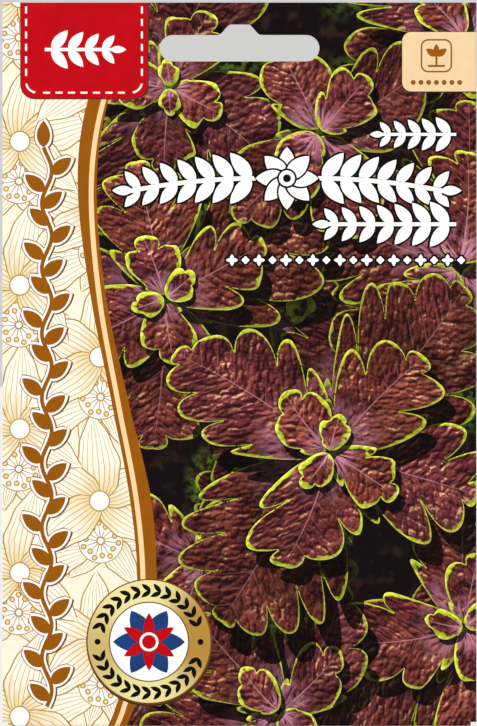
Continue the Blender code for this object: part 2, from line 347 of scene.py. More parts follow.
class Leaf:
    """One printed leaf. Its own millimetres run a along its midrib and b across it."""

    def __init__(self, base, angle, length, tone, rim):
        self.base = Vector(base)
        self.angle = angle
        self.length = length
        self.width = length * draws.uniform(0.68, 0.84)
        self.bend = draws.uniform(-0.22, 0.22) / length
        self.tone = tone * draws.uniform(0.85, 1.08)
        self.rim = rim
        self.lobes = max(1.6, length / LOBE_LENGTH * draws.uniform(0.8, 1.1))
        self.cut = LOBE_DEPTH * draws.uniform(0.8, 1.2) * min(1.0, 0.4 + length / 30)
        self.seed = draws.uniform(0, 90)
        self.rank = len(leaves)
        self.outline, self.tips = self.trace()
        self.tree = flat_tree(self.outline)

    def lobe(self, t, side):
        """1 in the middle of a round lobe, and 0 in the notch between two."""
        phase = (0.5 + self.lobes * (1.0 - t) ** 0.85 + 0.16 * side * (1.0 - t)) % 1.0
        return (1.0 - abs(2.0 * phase - 1.0) ** 2.4) ** 0.5

    def place(self, a, b):
        return Vector(turned(self.base, self.angle, a, b + self.bend * a * a))

    def local(self, point):
        a, b = turned((0, 0), -self.angle, point.x - self.base.x, point.y - self.base.y)
        return a, b - self.bend * a * a

    def edge_at(self, t, side):
        """The rim at a share of the length: its lobes reach out and lean forward."""
        ragged = noise.noise((t * 3.5, side, self.seed))
        depth = (self.cut + 0.25 * ragged) * smooth_step(0.25 + t / 0.3)
        shape = self.width / 2 * math.sin(math.pi * t ** 0.7) ** 0.75
        lobe = shape * depth * 1.3 * self.lobe(t, side)
        along = t * self.length + LOBE_LEAN * lobe
        return self.place(along, side * (shape * (1.0 - depth) + lobe))

    def trace(self):
        """The outline at even gaps, and how near a lobe's tip each of its points is."""
        count = int(self.length * STOPS_PER_MM)
        path = [(k / count, 1) for k in range(count)]
        path += [(1.0 - k / count, -1) for k in range(count)]
        spots = [self.edge_at(*stop) for stop in path]
        outline, tips = [spots[0]], [0.0]
        for stop, start, end in zip(path, spots, spots[1:] + spots[:1]):
            for part in range(PARTS_OF_A_STOP):
                spot = start.lerp(end, part / PARTS_OF_A_STOP)
                if (spot - outline[-1]).length > OUTLINE_GAP:
                    outline.append(spot)
                    tips.append(self.lobe(*stop))
        return outline, tips

    def light(self, point):
        """How much light reaches a point close beside the leaves that lie over this one."""
        light = 1.0
        for upper in leaves[self.rank + 1:]:
            if (point - upper.base).length < upper.length * 1.2 + 2.0:
                gap = upper.tree.find((point.x, point.y, 0.0))[2]
                light = min(light, 1.0 - CONTACT_SHADE * math.exp(-gap / CONTACT_REACH))
        return light

    def corner(self, point):
        """What a corner of the mesh carries: place on the blade, light, and rim."""
        lamp = turned((0, 0), -self.angle, LAMP.x, LAMP.y)
        nearest, edge = self.tree.find((point.x, point.y, 0.0))[1:]
        along = self.outline[(nearest + 1) % len(self.outline)] - self.outline[nearest - 1]
        facing = LAMP.dot(Vector((-along.y, along.x)).normalized())
        curl = 1.0 + CURL_SHADE * facing * math.exp(-edge / CURL_REACH)
        rim = self.rim * (0.3 + 0.95 * self.tips[nearest] ** 4)
        return ((*self.local(point), self.length), (*lamp, self.light(point) * self.tone * curl),
                (edge, rim, self.seed))


for count, across, up, lengths, tones, rim in LOOSE_LEAVES:
    for k in range(count):
        spot = (draws.uniform(*across), draws.uniform(*up))
        angle = draws.uniform(0, 2 * math.pi)
        leaves.append(Leaf(spot, angle, draws.uniform(*lengths), draws.uniform(*tones), rim))

# A whorl is crossed pairs of leaves round a growing tip, the largest drawn first.
for centre, size, turn, pairs in WHORLS:
    for tier, (share, tone, rim) in enumerate(TIERS[:pairs]):
        for side in (0, 180):
            angle = math.radians(turn + 90 * tier + side + draws.uniform(-22, 22))
            length = size * share * draws.uniform(0.86, 1.1)
            base = turned(centre, angle, length * 0.04, 0)
            leaves.append(Leaf(base, angle, length, tone, rim))


def read_corner(pen, name):
    """The three numbers that a leaf's corners carry under a name."""
    return pen.node("ShaderNodeAttribute", {"attribute_name": name}, {}, "Vector").split()


def leaf_print():
    """Puckered chocolate blades with lilac veins at the foot and a lime rim."""
    made, pen, place = start_material("leaf print")
    a, b, length = read_corner(pen, "blade")
    lamp_a, lamp_b, lit = read_corner(pen, "light")
    edge, rim_width, seed = read_corner(pen, "rim")
    spot = pen.join(a, b, seed)

    def relief(along, across):
        """The blade's height at a place, and how near a groove the place is."""
        side = abs(across)
        here = pen.join(along, across, seed)
        warp = here.cloud(0.5, 2.0) * 1.5
        drift = here.cloud(0.7, 2.0) * 1.2
        cell = pen.join((along - side * 0.55) * 0.92 + warp, side * 0.7 + drift, seed)
        settings = {"feature": "SMOOTH_F1", "voronoi_dimensions": "3D"}
        values = {"Vector": cell, "Scale": 1.0, "Smoothness": 0.4}
        groove = pen.node("ShaderNodeTexVoronoi", settings, values, "Distance")
        height = here.cloud(0.12, 1.0) * 7.0 - groove * groove * 1.9
        return height + here.cloud(1.9, 3.0) * 0.8 - side * side * 0.015, groove

    side = abs(b)
    reach = 0.25
    ahead, groove_ahead = relief(a + lamp_a * reach, b + lamp_b * reach)
    behind, groove_behind = relief(a - lamp_a * reach, b - lamp_b * reach)
    slope = behind - ahead - lamp_b * b / (side + 0.9) * 0.22
    hue = (seed * 0.731).maths("FRACT")
    body = (slope + 0.6).between(0.0, 0.8).mix((54, 17, 21), hue.mix((126, 58, 46), (114, 50, 58)))
    sunny = spot.cloud(0.2, 1.0).between(0.44, 0.62)
    body = ((slope - 0.14).between(0.0, 0.45) * 0.7).mix(body, (168, 98, 78))
    body = ((slope - 0.36).between(0.0, 0.4) * sunny).mix(body, (226, 172, 130))
    groove = ((groove_ahead + groove_behind) * 0.5).between(0.48, 0.78)
    body = (groove * 0.6).mix(body, (32, 9, 13))
    body = (spot.cloud(0.1, 1.0).between(0.34, 0.66) * 0.62 + 0.66).darken(body)
    vein = abs(((a - side * 0.75) / (length * 0.05 + 1.9) * math.pi).maths("SINE"))
    vein = (1.0 - vein.between(0.02, 0.14)) * (1.0 - (side / length).between(0.03, 0.22))
    body = (vein * 0.45).mix(body, (182, 112, 118))
    radius = (a * a + b * b) ** 0.5
    rays = pen.join(radius * 0.3, b.maths("ARCTAN2", a) * 7.0, seed).cloud(1.0, 4.0)
    heart = 1.0 - (radius / length).between(0.04, 0.46)
    body = (heart * rays.between(0.38, 0.6) * 0.9).mix(body, (224, 148, 176))
    midrib = (0.24 - side - a / length * 0.16).between(0.0, 0.12)
    body = (midrib * 0.6).mix(body, (204, 144, 152))
    wander = spot.cloud(0.6, 3.0)
    margin = rim_width * (wander * 2.6 - 0.3)
    mask = 1.0 - (edge - margin).between(-0.06, 0.1)
    lime = (edge / rim_width + wander * 1.6 - 0.8).between(0.0, 1.0)
    lime = lime.mix((238, 232, 96), (178, 206, 28))
    colour = mask.mix(body, (slope * 0.4 + 0.86).darken(lime))
    finish_paper(made, place, lit.darken(colour))
    inks["leaf"] = made


def ground_print():
    """The picture's deep shade between the leaves, with dim stalks and sprouts far below."""
    made, pen, place = start_material("picture ground")
    stalks = place.cloud(300.0, 4.0).between(0.52, 0.72)
    flecks = place.cloud(620.0, 3.0).between(0.42, 0.62)
    sprouts = place.cloud(45.0, 1.0).between(0.5, 0.62) * flecks
    dim = stalks.mix((17, 7, 12), (46, 28, 22))
    finish_paper(made, place, sprouts.mix(dim, (74, 96, 30)))
    inks["ground"] = made


leaf_print()
ground_print()


def draw(points, ink, zone="front", blade=None):
    """Lays a shape over those before it, cut up so it bends, and gives its number."""
    pairs = list(zip(points, points[1:] + points[:1]))
    outline = []
    for start, end in pairs:
        pieces = math.ceil(max(math.dist(start, end), 0.1) / LONGEST_SIDE)
        across, up = (end[0] - start[0]) / pieces, (end[1] - start[1]) / pieces
        outline += [(start[0] + across * k, start[1] + up * k) for k in range(pieces)]
    if sum(a[0] * b[1] - b[0] * a[1] for a, b in pairs) < 0:
        outline.reverse()
    shapes.append({"points": outline, "ink": ink, "zone": zone, "blade": blade})
    return len(shapes) - 1


def arc(centre, radius, start, end, steps):
    """Points on a circle's arc, from one angle to another, in degrees."""
    angles = [math.radians(start + (end - start) * k / steps) for k in range(steps + 1)]
    return [turned(centre, angle, radius, 0.0) for angle in angles]


def block(left, bottom, right, top, ink, zone="front", radius=0.1):
    """A rectangle with round corners."""
    corners = ((right - radius, bottom + radius), (right - radius, top - radius),
               (left + radius, top - radius), (left + radius, bottom + radius))
    points = []
    for corner, start in zip(corners, (-90, 0, 90, 180)):
        points += arc(corner, radius, start, start + 90, 6)
    draw(points, ink, zone)


# The whole flat sheet comes first, in the band's cream, and the picture lies on it.
SHEET = draw([
    (BACK_EDGE, PANEL_BOTTOM), (-FLAP_HALF, PANEL_BOTTOM), (-FLAP_HALF, FLAP_FOOT),
    (FLAP_HALF, FLAP_FOOT), (FLAP_HALF, PANEL_BOTTOM), (FLAP_EDGE, PANEL_BOTTOM),
    (FLAP_EDGE, PACKET_HEIGHT), (BACK_EDGE, PACKET_HEIGHT)], "cream", "all")
block(*PICTURE, "ground")
for leaf in leaves:
    draw([point - LAMP * THROW * leaf.length for point in leaf.outline[::2]], None, "shadow")
    draw(leaf.outline, "leaf", "front", leaf)

# Cream band
# Down the left runs a cream band of line-drawn leaves and seed heads, printed in ochre. It
# ends in a long S-curve, with a border of two brown lines and a peach one between them,
# and a brown vine with a pale outline climbs its middle.
PEACH_LINE = 1.0
EDGE_HEIGHTS = [-8.0 + 1.5 * k for k in range(105)]
# Height, the band's right edge there, and the widths of the first and the last brown line.
BAND_EDGE = (
    (-9.0, -29.0, 1.4, 1.3), (2.4, -25.3, 1.2, 1.5), (14.0, -21.6, 0.9, 1.9),
    (29.0, -20.4, 0.6, 2.2), (45.4, -21.9, 0.75, 2.5), (65.4, -25.7, 0.8, 1.6),
    (85.4, -29.7, 1.2, 0.9), (105.4, -32.3, 2.1, 0.6), (119.4, -31.7, 2.6, 0.5),
    (133.0, -28.0, 2.7, 0.4), (150.0, -21.0, 2.8, 0.4), (160.0, -17.0, 2.8, 0.4),
)
LENS_STEPS = 9
RIM_STEPS = 16
VEINS = (-0.74, -0.5, -0.25, 0.0, 0.25, 0.5, 0.74)
VEIN_STEPS = 5
FINE_LINE = 0.2
RAYS = 14
ROWS = 11
ROW_HEIGHT = 14.4
ROW_MIDDLE = -36.0
VINE_X = -38.6
VINE_FOOT = 4.0
VINE_TOP = 116.0
VINE_PERIOD = 13.0
VINE_STEM = 0.8
VINE_LEAF = (5.2, 2.7)
VINE_TIP = (5.4, 2.7)
VINE_LEAF_GAP = 3.4
VINE_LEAF_TURN = 50
# The vine's coats, from the lowest: the ink, the margin it is grown by, and its shift.
VINE_COATS = (("shade", 0.5, 0.22), ("brown", 0.56, 0.0), ("ivory", 0.4, 0.0), ("brown", 0.0, 0.0))

flat_ink("cream", (254, 245, 221), 0.02)
flat_ink("ivory", (255, 254, 249), 0.01)
flat_ink("ochre", (188, 142, 56), 0.08)
flat_ink("fine line", (204, 178, 124), 0.06)
flat_ink("brown", (155, 89, 8))
flat_ink("peach", (255, 217, 163), 0.03)
flat_ink("shade", (66, 44, 26), 0.04)


def circle(centre, radius, ink, zone="front", steps=40):
    draw(arc(centre, radius, 0, 360, steps)[:-1], ink, zone)


def line(path, width, ink, zone="front", end_width=None):
    """A drawn line along a path, which may thin towards its end."""
    end_width = width if end_width is None else end_width
    left, right = [], []
    for k, point in enumerate(path):
        before = Vector(path[max(k - 1, 0)])
        after = Vector(path[min(k + 1, len(path) - 1)])
        along = (after - before).normalized()
        across = Vector((-along.y, along.x))
        half = (width + (end_width - width) * k / (len(path) - 1)) / 2
        left.append(tuple(Vector(point) + across * half))
        right.append(tuple(Vector(point) - across * half))
    draw(left + right[::-1], ink, zone)


def lens(base, angle, length, width, grow=0.0):
    """A plain pointed leaf or petal, grown by a margin where it is an outline's back."""
    points = []
    for side in (1, -1):
        for k in range(LENS_STEPS):
            t = k / LENS_STEPS if side > 0 else 1.0 - k / LENS_STEPS
            half = width / 2 * math.sin(math.pi * t ** 0.85) ** 0.8 + grow
            points.append(turned(base, angle, t * length + (2 * t - 1) * grow, side * half))
    return points


def along_edge(height, column):
    """A value of the band's edge at a height, on a smooth curve through its points."""
    k = max(k for k in range(1, len(BAND_EDGE) - 2) if BAND_EDGE[k][0] <= height or k == 1)
    before, low, high, after = BAND_EDGE[k - 1:k + 3]
    span = high[0] - low[0]
    t = (height - low[0]) / span
    low_slope = (high[column] - before[column]) / (high[0] - before[0]) * span
    high_slope = (after[column] - low[column]) / (after[0] - low[0]) * span
    rise = smooth_step(t)
    bow = t * (1 - t) * (low_slope * (1 - t) - high_slope * t)
    return low[column] * (1 - rise) + high[column] * rise + bow


def band_shape(first, peach, last):
    """The band's outline, let out by its border's lines."""
    edge = []
    for v in EDGE_HEIGHTS:
        out = first * along_edge(v, 2) + peach * PEACH_LINE + last * along_edge(v, 3)
        edge.append((along_edge(v, 1) + out, v))
    return edge + [(PICTURE[0], EDGE_HEIGHTS[-1]), (PICTURE[0], EDGE_HEIGHTS[0])]


draw(band_shape(1, 1, 1), "brown")
draw(band_shape(1, 1, 0), "peach")
draw(band_shape(1, 0, 0), "brown")
BAND = draw(band_shape(0, 0, 0), "cream")


class DrawnLeaf:
    """A line-drawn leaf: an outline, a pale wash, and long veins that part at its foot."""

    def __init__(self, base, angle, length, bend):
        self.base = base
        self.angle = angle
        self.length = length
        self.bend = bend
        for inset, ink in ((0.0, "ochre"), (0.28, "wash")):
            rim = [self.at(k / RIM_STEPS, 1.0, inset) for k in range(RIM_STEPS)]
            rim += [self.at(1.0 - k / RIM_STEPS, -1.0, inset) for k in range(RIM_STEPS)]
            draw(rim, ink, "band", self)
        for share in VEINS:
            start, end = 0.06, 0.94 - abs(share) * 0.3
            stops = [start + (end - start) * k / VEIN_STEPS for k in range(VEIN_STEPS + 1)]
            path = [self.at(stop, share) for stop in stops]
            line(path, FINE_LINE, "fine line", "band", FINE_LINE / 2)

    def at(self, t, share, inset=0.0):
        """The point t of the way to the tip, and a share of the half width across."""
        half = self.length * 0.25 * math.sin(math.pi * t ** 0.72) ** 0.8
        waves = 1.0 + 0.05 * math.sin(t * 19.0 + share)
        across = share * max(half * waves - inset, 0.0) + self.bend * t * t
        return turned(self.base, self.angle, t * self.length, across)

    def corner(self, point):
        a, b = turned((0, 0), -self.angle, point.x - self.base[0], point.y - self.base[1])
        return (a, b, self.length), (0, 0, 0), (0, 0, 0)


def wash_print():
    """A drawn leaf's wash: sand at its foot, and paler in streaks towards its tip."""
    made, pen, place = start_material("wash")
    a, b, length = read_corner(pen, "blade")
    streaks = pen.join(a * 0.2, b * 1.6, length).cloud(1.0, 3.0)
    pale = (a / length + streaks * 0.8 - 0.42).between(0.0, 0.5)
    finish_paper(made, place, pale.mix((246, 217, 164), (254, 249, 233)))
    inks["wash"] = made


wash_print()


def seed_head(centre, radius, turn):
    """A line-drawn seed head: rays from its middle, each with a small round tip."""
    circle(centre, radius * 1.14, "ochre", "band", 30)
    circle(centre, radius * 1.14 - FINE_LINE, "ivory", "band", 30)
    for k in range(RAYS):
        angle = math.radians(turn + 360 * k / RAYS)
        tip = turned(centre, angle, radius * (0.74 + 0.16 * (k % 2)), 0)
        line([turned(centre, angle, radius * 0.16, 0), tip], FINE_LINE, "ochre", "band", 0.12)
        circle(tip, 0.6, "ochre", "band", 10)
        circle(tip, 0.36, "peach", "band", 8)
    circle(centre, radius * 0.22, "ochre", "band", 14)
    circle(centre, radius * 0.15, "ivory", "band", 12)


def leaf_star(root, first, step, count, length):
    """Drawn leaves that spread from one root, with a white disc over their feet."""
    for k in range(count):
        angle = math.radians(first + step * k + draws.uniform(-8, 8))
        DrawnLeaf(root, angle, length * draws.uniform(0.85, 1.1), draws.uniform(-2, 2))
    circle(root, length * 0.13, "ochre", "band", 20)
    circle(root, length * 0.13 - 0.25, "ivory", "band", 20)


for k in range(ROWS):
    lean = 1 if k % 2 else -1
    root = (ROW_MIDDLE - 9.0 * lean, 9.4 + ROW_HEIGHT * k)
    leaf_star(root, first=90 - 150 * lean, step=60 * lean, count=6, length=11.0)
for k in range(ROWS):
    lean = 1 if k % 2 else -1
    root = (ROW_MIDDLE + 8.0 * lean, 2.0 + ROW_HEIGHT * k)
    leaf_star(root, first=90 - 120 * lean, step=62 * lean, count=5, length=16.5)
    centre = (ROW_MIDDLE - 8.2 * lean, 8.4 + ROW_HEIGHT * k)
    seed_head(centre, radius=4.0, turn=draws.uniform(0, 24))


def vine(ink, grow, shift):
    """A climbing stem with leaves to its left and right by turns."""

    def stem(v):
        sway = math.sin(2 * math.pi * (v - VINE_FOOT) / VINE_PERIOD)
        return VINE_X + sway + shift, v - shift * 0.6

    path = [stem(VINE_FOOT + k) for k in range(int(VINE_TOP - VINE_FOOT) + 1)]
    line(path, VINE_STEM + 2 * grow, ink, "band")
    for k in range(int((VINE_TOP - VINE_FOOT) / VINE_LEAF_GAP)):
        lean = VINE_LEAF_TURN if k % 2 else -VINE_LEAF_TURN
        joint = stem(VINE_FOOT + VINE_LEAF_GAP * k + 1.2)
        draw(lens(joint, math.radians(90 - lean), *VINE_LEAF, grow), ink, "band")
    draw(lens(stem(VINE_TOP), math.radians(90), *VINE_TIP, grow), ink, "band")


for coat in VINE_COATS:
    vine(*coat)

# Red label
# A red label hangs over the header's left side, with round lower corners and a line of
# white stitches. Its middle holds a plain white sprig.
LABEL_LEFT = -43.9
LABEL_RIGHT = -18.4
LABEL_BOTTOM = 125.8
LABEL_RADIUS = 3.0
STITCH_INSET = 1.15
STITCH = 1.4
STITCH_PITCH = 2.5
STITCH_WIDTH = 0.38
STITCH_CORNER = 2.2
ABOVE_HEADER = PACKET_HEIGHT + 6

flat_ink("red", (196, 2, 19))
flat_ink("white", (255, 255, 254), 0.01)
block(LABEL_LEFT - 0.05, LABEL_BOTTOM - 0.2, LABEL_RIGHT + 0.2, ABOVE_HEADER, "shade",
      radius=LABEL_RADIUS)
block(LABEL_LEFT, LABEL_BOTTOM, LABEL_RIGHT, ABOVE_HEADER, "red", radius=LABEL_RADIUS)


def stitches(start, end):
    """White stitches of one length between two points."""
    reach = math.dist(start, end)
    count = int((reach + STITCH_PITCH - STITCH) / STITCH_PITCH)
    spare = reach - (count - 1) * STITCH_PITCH - STITCH
    for k in range(count):
        at = spare / 2 + k * STITCH_PITCH
        ends = [Vector(start).lerp(Vector(end), place / reach) for place in (at, at + STITCH)]
        line(ends, STITCH_WIDTH, "white")


stitch_left = LABEL_LEFT + STITCH_INSET
stitch_right = LABEL_RIGHT - STITCH_INSET
stitch_foot = LABEL_BOTTOM + STITCH_INSET
turn_height = stitch_foot + STITCH_CORNER
stitches((stitch_left, turn_height + 0.4), (stitch_left, PACKET_HEIGHT))
stitches((stitch_right, turn_height + 0.4), (stitch_right, PACKET_HEIGHT))
stitches((stitch_left + STITCH_CORNER, stitch_foot), (stitch_right - STITCH_CORNER, stitch_foot))
for middle, start in ((stitch_left + STITCH_CORNER, 190), (stitch_right - STITCH_CORNER, 280)):
    line(arc((middle, turn_height), STITCH_CORNER, start, start + 70, 6), STITCH_WIDTH, "white")


def sprig(start, way, length, leaf, pairs, coats, zone="front", sag=0.0):
    """A sprig that runs to the right, or left where way is -1, and tapers to its tip."""

    def stem(t):
        return start[0] + way * t * length, start[1] - sag * t * t

    def stem_line(grow, ink):
        steps = 12
        path = [stem(k / steps) for k in range(steps + 1)]
        line(path, leaf * 0.13 + 2 * grow, ink, zone)

    stem_line(*coats[0])
    for k in range(pairs):
        t = (k + 0.4) / pairs
        size = leaf * (1.0 - 0.34 * t)
        for side in (50, -50):
            angle = math.radians(side if way > 0 else 180 - side)
            for grow, ink in coats:
                draw(lens(stem(t), angle, size, size * 0.44, grow), ink, zone)
    for grow, ink in coats:
        tip = lens(stem(0.97), 0.0 if way > 0 else math.pi, leaf * 0.6, leaf * 0.28, grow)
        draw(tip, ink, zone)
    stem_line(*coats[-1])


sprig((-39.0, 135.6), way=1, length=13.6, leaf=5.2, pairs=4, coats=((0.0, "white"),))

# Corner tab
# A peach tab runs off the right edge below the header's corner, with a brown pictogram of
# a seedling in a frame and a row of dots under it.
TAB_LEFT = 32.6
TAB_BOTTOM = 127.2
TAB_TOP = 139.1
TAB_END = HALF + 6
PICTOGRAM = (36.3, 131.0, 42.6, 137.7)
PICTOGRAM_RIM = 0.32
STROKE = 0.42
DOTS = 7
DOT_RADIUS = 0.5
DOT_PITCH = 1.55

flat_ink("tab peach", (243, 212, 166), 0.02)
block(TAB_LEFT - 0.12, TAB_BOTTOM - 0.2, TAB_END, TAB_TOP + 0.1, "shade", radius=1.9)
block(TAB_LEFT, TAB_BOTTOM, TAB_END, TAB_TOP, "tab peach", radius=1.8)
left, bottom, right, top = PICTOGRAM
block(left, bottom, right, top, "brown", radius=1.5)
block(left + PICTOGRAM_RIM, bottom + PICTOGRAM_RIM, right - PICTOGRAM_RIM, top - PICTOGRAM_RIM,
      "tab peach", radius=1.2)
middle = (left + right) / 2
soil = bottom + 1.3
line([(middle, soil), (middle, bottom + 3.9)], STROKE, "brown")
line([(middle - 1.7, soil), (middle + 1.7, soil)], STROKE, "brown")
for turn in (35, 145):
    draw(lens((middle, bottom + 3.3), math.radians(turn), 2.5, 1.4), "brown")
draw(lens((middle, bottom + 3.4), math.radians(90), 2.3, 1.2), "brown")
for k in range(DOTS):
    centre = (middle + (k - DOTS // 2) * DOT_PITCH, bottom - 2.0)
    circle(centre, DOT_RADIUS, "brown", steps=14)

# Garlands
# White garlands with a black outline lie over the picture, set to the right edge: a small
# one, a wide one with a blossom, a half one, and a dotted rule.
GARLAND = (9.5, 109.8)
GARLAND_REACH = 34.5
GARLAND_RIGHT = 44.4
GARLAND_OUTLINE = 0.36
RULE_HEIGHT = 93.4
RULE_SPOTS = 18
RULE_PITCH = 2.7

flat_ink("black", (12, 8, 10))


def blossom(centre, petals, length, width, coats, turn=90.0):
    """Petals round a middle, each with its outline over the one before it."""
    for k in range(petals):
        angle = math.radians(turn + 360 * k / petals)
        for grow, ink in coats:
            draw(lens(centre, angle, length, width, grow), ink)


edged = ((GARLAND_OUTLINE, "black"), (0.0, "white"))
sprig((GARLAND_RIGHT - 1.0, 118.6), way=-1, length=15.0, leaf=4.6, pairs=5, coats=edged)
for way in (-1, 1):
    start = (GARLAND[0] + way * 5.6, GARLAND[1])
    sprig(start, way, length=GARLAND_REACH - 8.4, leaf=6.8, pairs=7, coats=edged, sag=2.6)
blossom(GARLAND, petals=8, length=6.3, width=3.4, coats=edged)
sprig((GARLAND_RIGHT - 1.0, 100.6), way=-1, length=26.0, leaf=6.0, pairs=7, coats=edged)
for k in range(RULE_SPOTS):
    spot = (GARLAND_RIGHT - RULE_PITCH * k, RULE_HEIGHT)
    for coat in edged:
        blossom(spot, petals=4, length=1.2 if k % 2 else 0.8, width=0.8, coats=(coat,))
for radius, ink in ((2.0, "black"), (1.6, "white"), (0.8, "black")):
    circle(GARLAND, radius, ink, steps=24)

# Medallion
# A gold medallion lies over the border, low on the band: a shaded gold ring between dark
# lines, with a wreath on it, round a white disc with a blue and red flower.
MEDAL = (-18.1, 17.0)
MEDAL_RADIUS = 12.6
DISC_RADIUS = 7.8
WREATH_RADIUS = 10.2
WREATH_LEAVES = 13

flat_ink("umber", (122, 72, 20))
flat_ink("blue", (28, 64, 122))


def gold_print():
    """Printed gold: pale at the ring's top and foot, and deep yellow at its sides."""
    made, pen, place = start_material("gold print")
    x, y, z = place.split()
    across = x - MEDAL[0] * MM
    up = z - (box_bottom + MEDAL[1] * MM)
    angle = up.maths("ARCTAN2", across)
    sheen = 0.5 - (angle * 2.0 - 0.25).maths("COSINE") * 0.5 - angle.maths("COSINE") * 0.3
    finish_paper(made, place, sheen.between(-0.2, 1.0).mix((182, 140, 62), (237, 226, 158)), 0.38)
    inks["gold"] = made


gold_print()
circle((MEDAL[0] + 0.1, MEDAL[1] - 0.3), MEDAL_RADIUS + 0.06, "shade", steps=90)
circle(MEDAL, MEDAL_RADIUS, "umber", steps=90)
circle((MEDAL[0], MEDAL[1] + 0.06), MEDAL_RADIUS - 0.3, "gold", steps=90)
for side in (-1, 1):
    circle(turned(MEDAL, 0.0, side * 10.3, 0.0), 0.6, "black", steps=18)
    for half in (-1, 1):
        for k in range(WREATH_LEAVES):
            angle = half * math.radians(12 + 152 * (k + 0.5) / WREATH_LEAVES)
            base = turned(MEDAL, angle, WREATH_RADIUS, 0)
            heading = angle + half * (math.pi / 2 - side * 0.62)
            draw(lens(base, heading, 2.3, 0.95), "black")
circle(MEDAL, DISC_RADIUS + 0.24, "umber", steps=70)
circle(MEDAL, DISC_RADIUS, "white", steps=70)
blossom(MEDAL, petals=6, length=7.2, width=3.9, coats=((0.0, "blue"),), turn=60)
blossom(MEDAL, petals=6, length=5.8, width=2.2, coats=((0.0, "red"),))
circle(MEDAL, 1.9, "white", steps=26)
circle(MEDAL, 1.4, "red", steps=24)

# Back print
# The back isn't in the photograph. It repeats the band's plain cream with a brown frame, a
# peach panel with no words, a strip of twelve month boxes and three pictograms. Places
# there are measured from the back's middle, to the right as it is seen from behind.
MONTHS = 12
MONTH_PITCH = 5.9
MONTH_WIDTH = 5.3
BADGES = 3
BADGE_LEFT = -30.0
BADGE_PITCH = 13.0
BADGE_WIDTH = 10.5

flat_ink("green", (126, 158, 44))


def on_back(x):
    return BACK_MIDDLE + x


def framed(left, bottom, right, top, rim, fill, radius, width=0.4):
    """A round-cornered box with a rim."""
    block(on_back(left), bottom, on_back(right), top, rim, "back", radius)
    block(on_back(left + width), bottom + width, on_back(right - width), top - width, fill,
          "back", radius - width)


framed(-33.5, 19.0, 44.5, 126.5, "brown", "ivory", 3.0)
framed(-30.0, 96.0, 41.0, 123.0, "peach", "peach", 2.0)
framed(-30.0, 60.0, 41.0, 92.5, "ochre", "cream", 2.0, 0.25)
for k in range(MONTHS):
    left = -29.6 + k * MONTH_PITCH
    fill = "green" if 1 < k < 9 else "cream"
    framed(left, 49.0, left + MONTH_WIDTH, 55.0, "brown", fill, 0.7, 0.25)
for k in range(BADGES):
    left = BADGE_LEFT + BADGE_PITCH * k
    framed(left, 33.0, left + BADGE_WIDTH, 44.0, "brown", "cream", 1.8, 0.45)
framed(14.0, 22.0, 41.0, 44.0, "ochre", "white", 0.8, 0.25)
seedling = on_back(-24.75)
line([(seedling, 35.2), (seedling, 39.5)], 0.55, "green", "back")
line([(seedling - 3, 35.2), (seedling + 3, 35.2)], 0.5, "brown", "back")
for turn in (30, 90, 150):
    draw(lens((seedling, 38.6), math.radians(turn), 3.6, 1.9), "green", "back")
sun = (on_back(-11.75), 38.5)
circle(sun, 1.9, "brown", "back", 26)
for k in range(8):
    angle = math.pi * k / 4
    line([turned(sun, angle, 2.5, 0), turned(sun, angle, 3.8, 0)], 0.5, "brown", "back")
drop = (on_back(1.25), 37.3)
draw(arc(drop, 2.1, -215, 35, 18) + [(drop[0], drop[1] + 4.6)], "blue", "back")
for way in (-1, 1):
    start = (on_back(5.5 + way), 109.5)
    sprig(start, way, length=24.0, leaf=6.5, pairs=6, coats=((0.0, "brown"),), zone="back")

# Hang slot
# A euro slot is punched through both plies of the header: a long bar with round ends and a
# bump in its top edge where the peg bears.
SLOT_LENGTH = 32.0
SLOT_RADIUS = 2.65
BUMP_HEIGHT = 2.1
BUMP_BASE = 8.6
BUMP_TOP = 3.4
BUMP_STEPS = 12
SLOT_HEIGHT = -box_bottom / MM - BUMP_HEIGHT - SLOT_RADIUS


def slot_outline(middle):
    """The slot's edge round a middle, with the bump in its top."""
    reach = SLOT_LENGTH / 2 - SLOT_RADIUS
    half = arc((reach, 0), SLOT_RADIUS, -90, 90, 16)
    for k in range(BUMP_STEPS + 1):
        x = (BUMP_BASE + (BUMP_TOP - BUMP_BASE) * k / BUMP_STEPS) / 2
        half.append((x, SLOT_RADIUS + BUMP_HEIGHT * smooth_step(k / BUMP_STEPS)))
    outline = half + [(-x, z) for x, z in reversed(half)]
    return [(middle + x, SLOT_HEIGHT + z) for x, z in outline]


SLOTS = {draw(slot_outline(middle), "cream", "all") for middle in (0.0, BACK_MIDDLE)}

# Envelope
# The sheet has two skins, half the paper's thickness out from its middle. The printed one
# holds every outline, and each of its triangles takes the ink of the topmost shape over
# it. The inner skin and the cut edges between them are bare white paper.
PICTURE_STEP = 1.05
PLAIN_STEP = 3.0
CLEAR_OF_LINES = 0.4
NUDGE = 0.02
MERGE_WITHIN = 1e-4
FOLD_STEPS = 6
PIECES_UP = 50
PIECES_ACROSS = 32
PIECES_ON_FLAP = 12
BLEED = 2.0
FRONT_RIGHT = SIDE_FOLD + BLEED
FRONT_FOOT = PANEL_BOTTOM - BOTTOM_ARC - BLEED

flat_ink("bare paper", PAPER_WHITE, 0.02)


